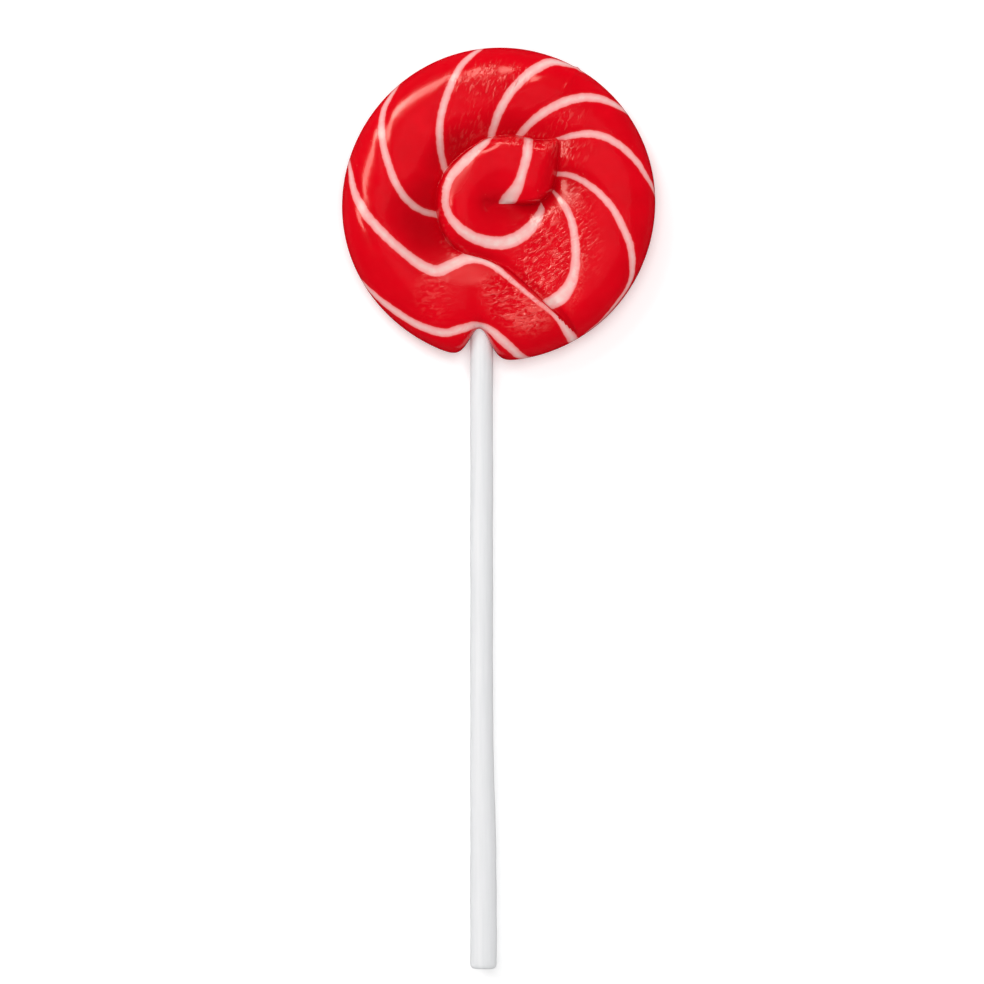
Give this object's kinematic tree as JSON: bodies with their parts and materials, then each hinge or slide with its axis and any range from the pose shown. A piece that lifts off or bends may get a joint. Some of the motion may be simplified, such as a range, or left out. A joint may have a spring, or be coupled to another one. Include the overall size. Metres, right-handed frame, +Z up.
{
  "type": "swirl lollipop",
  "caption": "Swirl lollipop: a thick striped rope of boiled sugar coiled into a rounded disc with a flat back, on a long straight stick.",
  "frame": {"origin": "middle of the whole lollipop's bounding box, on the surface it lies on: the flat back of the candy", "axes": "+Y along the stick towards the candy, +Z up out of the shown side, +X to the right as seen from above with the candy at the top"},
  "size_m": [0.0552, 0.1623, 0.0104],
  "materials": {
    "sugar_red": "satin-gloss boiled sugar, with thin pink-white stripes along the twisted rope",
    "stick_white": "plain white, faintly grained"
  },
  "bodies": {
    "root": {"candy_swirl": "sugar_red", "stick": "stick_white"}
  },
  "joints": []
}
